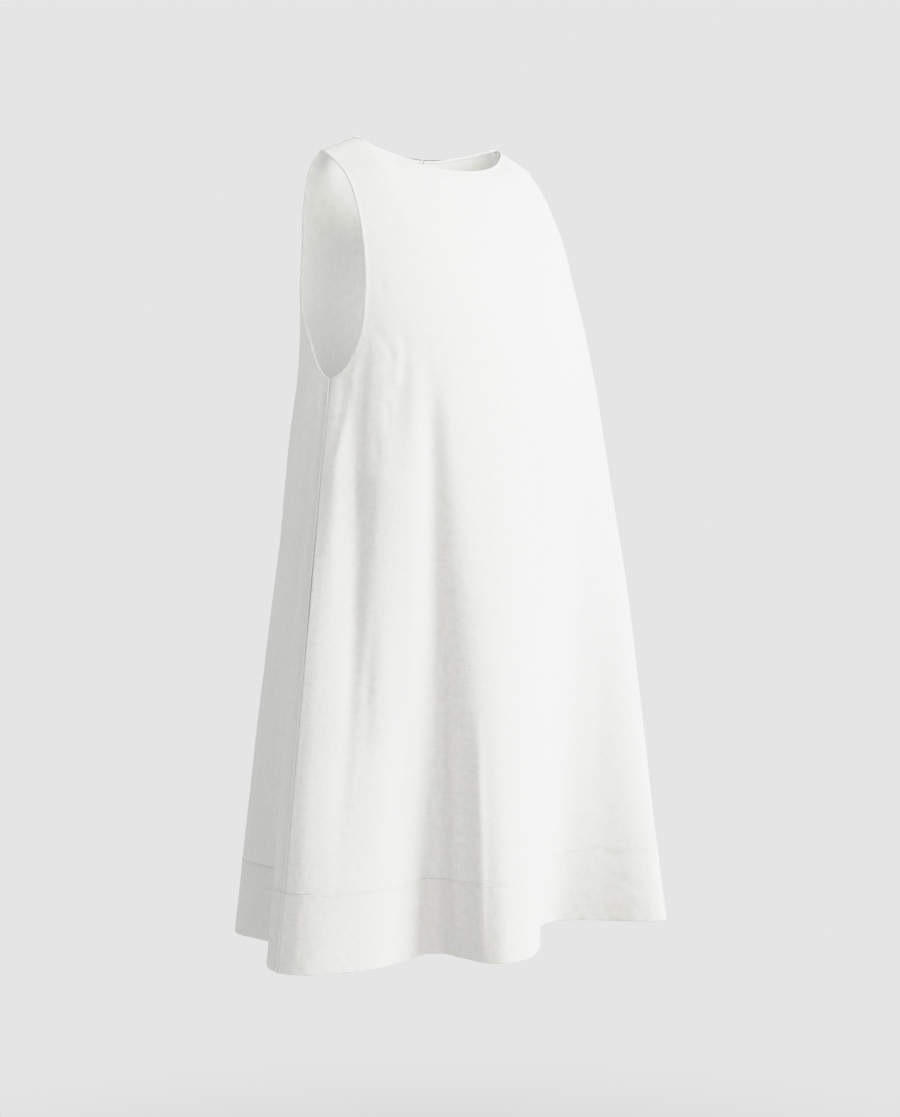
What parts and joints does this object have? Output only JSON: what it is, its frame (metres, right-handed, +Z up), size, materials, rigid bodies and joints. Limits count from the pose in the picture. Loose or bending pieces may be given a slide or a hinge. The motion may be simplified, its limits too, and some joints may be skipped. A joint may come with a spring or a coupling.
{
  "type": "sleeveless dress",
  "caption": "Sleeveless A-line linen dress with a round neck, cut-in armholes, seam pockets, a deep hem band and a buttoned slit at the back neck, filled out as worn and hollow.",
  "frame": {"origin": "between the neck ends of the two shoulder seams, where the wearer's shoulders hold the dress", "axes": "+Z up, -Y the way the front faces, -X the wearer's right"},
  "size_m": [0.4948, 0.3626, 0.8634],
  "materials": {
    "linen": "matte plain weave",
    "band": "matte plain weave, two layers",
    "pocketing": "matte plain weave",
    "button": "pearly",
    "thread": "matte cord"
  },
  "bodies": {
    "root": {"front_panel": "linen", "back_panel": "linen", "front_hem_band": "band", "back_hem_band": "band", "right_pocket_bag": "pocketing", "left_pocket_bag": "pocketing", "neck_button": "button", "button_loop": "thread"}
  },
  "joints": []
}
